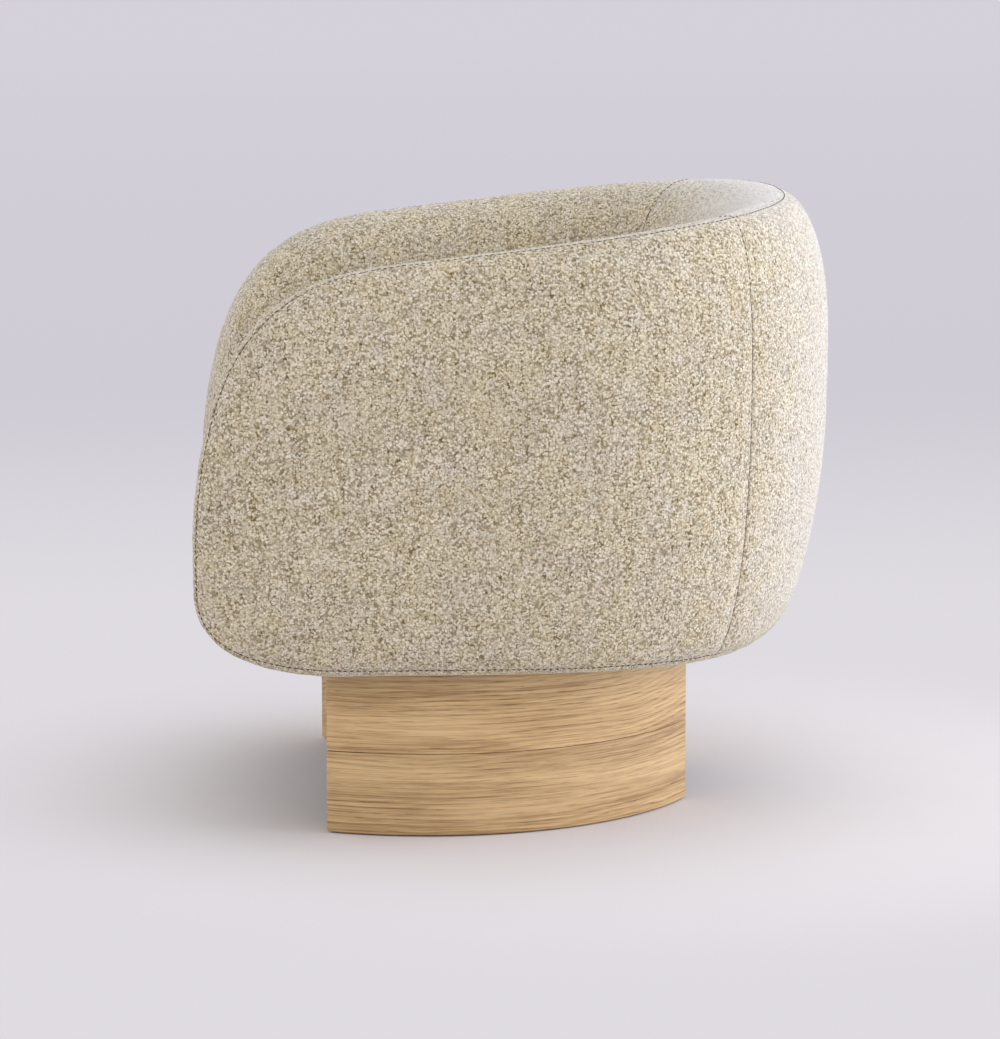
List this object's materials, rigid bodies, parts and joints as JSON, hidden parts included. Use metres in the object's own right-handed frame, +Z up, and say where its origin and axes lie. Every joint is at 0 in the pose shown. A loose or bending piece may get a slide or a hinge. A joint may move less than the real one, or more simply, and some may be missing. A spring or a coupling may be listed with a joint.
{
  "type": "tub lounge chair",
  "caption": "Low tub armchair with a curved wrap-around back, softly rounded arms, a loose boxed seat cushion and a base of two curved oak panels.",
  "frame": {"origin": "On the floor under the middle of the chair's overall width and depth", "axes": "+Z up, -Y the way the sitter faces, +X the sitter's left; the chair is symmetric left to right"},
  "size_m": [0.8016, 0.7656, 0.7407],
  "materials": {
    "cover_fabric": "coarse flecked boucle",
    "lining": "plain woven lining",
    "dust_fabric": "thin black non-woven",
    "foam": "open-cell foam",
    "webbing": "elastic webbing",
    "oak": "light natural oak, matt lacquer",
    "beech": "raw beech",
    "plywood": "raw plywood",
    "steel": "zinc plated",
    "glide_plastic": "matt"
  },
  "bodies": {
    "chair": {"base_board_left_lower": "oak", "base_board_left_upper": "oak", "base_board_right_lower": "oak", "base_board_right_upper": "oak", "board_dowels": "beech", "floor_glides": "glide_plastic", "base_bolts": "steel", "base_washers": "steel", "base_inserts": "steel", "base_panel": "plywood", "side_rail_left": "beech", "side_rail_right": "beech", "front_rail": "beech", "back_rail": "beech", "corner_blocks": "beech", "rail_screws": "steel", "arm_panel_left": "plywood", "arm_panel_right": "plywood", "wall_screws": "steel", "back_shell": "plywood", "back_top_rail": "beech", "webbing_crosswise": "webbing", "webbing_lengthwise": "webbing", "deck_foam": "foam", "deck_cover": "lining", "dust_cover": "dust_fabric", "front_band_foam": "foam", "front_band_cover": "cover_fabric", "under_border_left": "lining", "under_border_right": "lining", "outer_foam_left": "foam", "outer_foam_right": "foam", "outer_foam_back": "foam", "arm_foam_left": "foam", "arm_foam_right": "foam", "back_foam": "foam", "edge_roll_left": "foam", "edge_roll_right": "foam", "edge_roll_back": "foam", "outer_side_cover_left": "cover_fabric", "outer_side_cover_right": "cover_fabric", "outer_back_cover": "cover_fabric", "inner_arm_cover_left": "cover_fabric", "inner_arm_cover_right": "cover_fabric", "inner_back_cover": "cover_fabric"},
    "cushion": {"cushion_core": "foam", "cushion_cover": "cover_fabric"}
  },
  "joints": [
    {"name": "cushion_lift", "type": "slide", "parent": "chair", "child": "cushion", "axis": [0, 0, 1], "range_m": [0, 0.3]}
  ]
}
